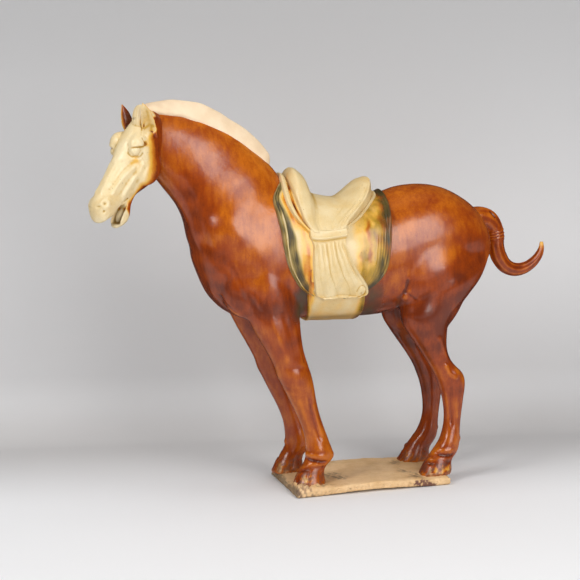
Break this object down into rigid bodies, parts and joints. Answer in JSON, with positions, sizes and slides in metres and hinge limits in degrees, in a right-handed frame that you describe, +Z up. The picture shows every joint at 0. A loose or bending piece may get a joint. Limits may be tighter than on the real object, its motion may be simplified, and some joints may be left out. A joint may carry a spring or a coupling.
{
  "type": "glazed pottery horse figure",
  "caption": "Standing saddled horse in amber and cream glazed pottery, head turned to its left, mouth open, bound tail curled up, hooves fired onto a thin arched slab.",
  "frame": {"origin": "on the ground, under the middle of the figure's bounding box", "axes": "+Z up, the horse faces -X, its left side faces -Y, +X points towards the tail"},
  "size_m": [0.6472, 0.1546, 0.5302],
  "materials": {
    "amber_glaze": "glossy amber-brown lead glaze",
    "cream_glaze": "glossy cream lead glaze with yellow and green runs",
    "bare_clay": "matte unglazed white-pink clay"
  },
  "bodies": {
    "root": {"horse": "amber_glaze"}
  },
  "joints": []
}
